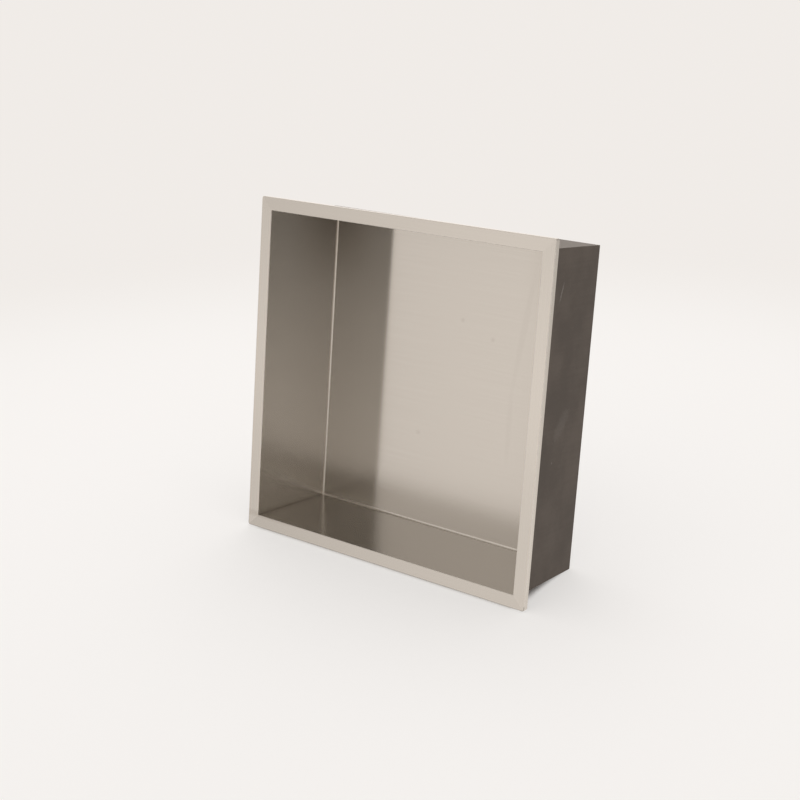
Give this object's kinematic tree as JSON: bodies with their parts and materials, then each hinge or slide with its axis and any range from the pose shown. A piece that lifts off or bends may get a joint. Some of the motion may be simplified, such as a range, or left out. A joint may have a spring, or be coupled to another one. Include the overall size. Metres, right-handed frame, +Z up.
{
  "type": "shower niche insert",
  "caption": "Square recessed wall niche of brushed stainless steel with a flat front flange and a matt dark coat outside, made to hold bottles and soap in a tiled shower wall.",
  "frame": {"origin": "on the face of the tiled wall, at the middle of the rim of the flange's turned-back lip", "axes": "+X to the right seen from the front, +Y into the wall, +Z up; the opening faces -Y"},
  "size_m": [0.305, 0.0926, 0.305],
  "materials": {
    "brushed_stainless": "fine straight brushing, satin, slightly warm",
    "matt_coat": "matt sprayed coat in dark warm grey, faintly mottled, with pale scuffs"
  },
  "bodies": {
    "root": {"niche_tray": "brushed_stainless", "outer_coat": "matt_coat"}
  },
  "joints": []
}
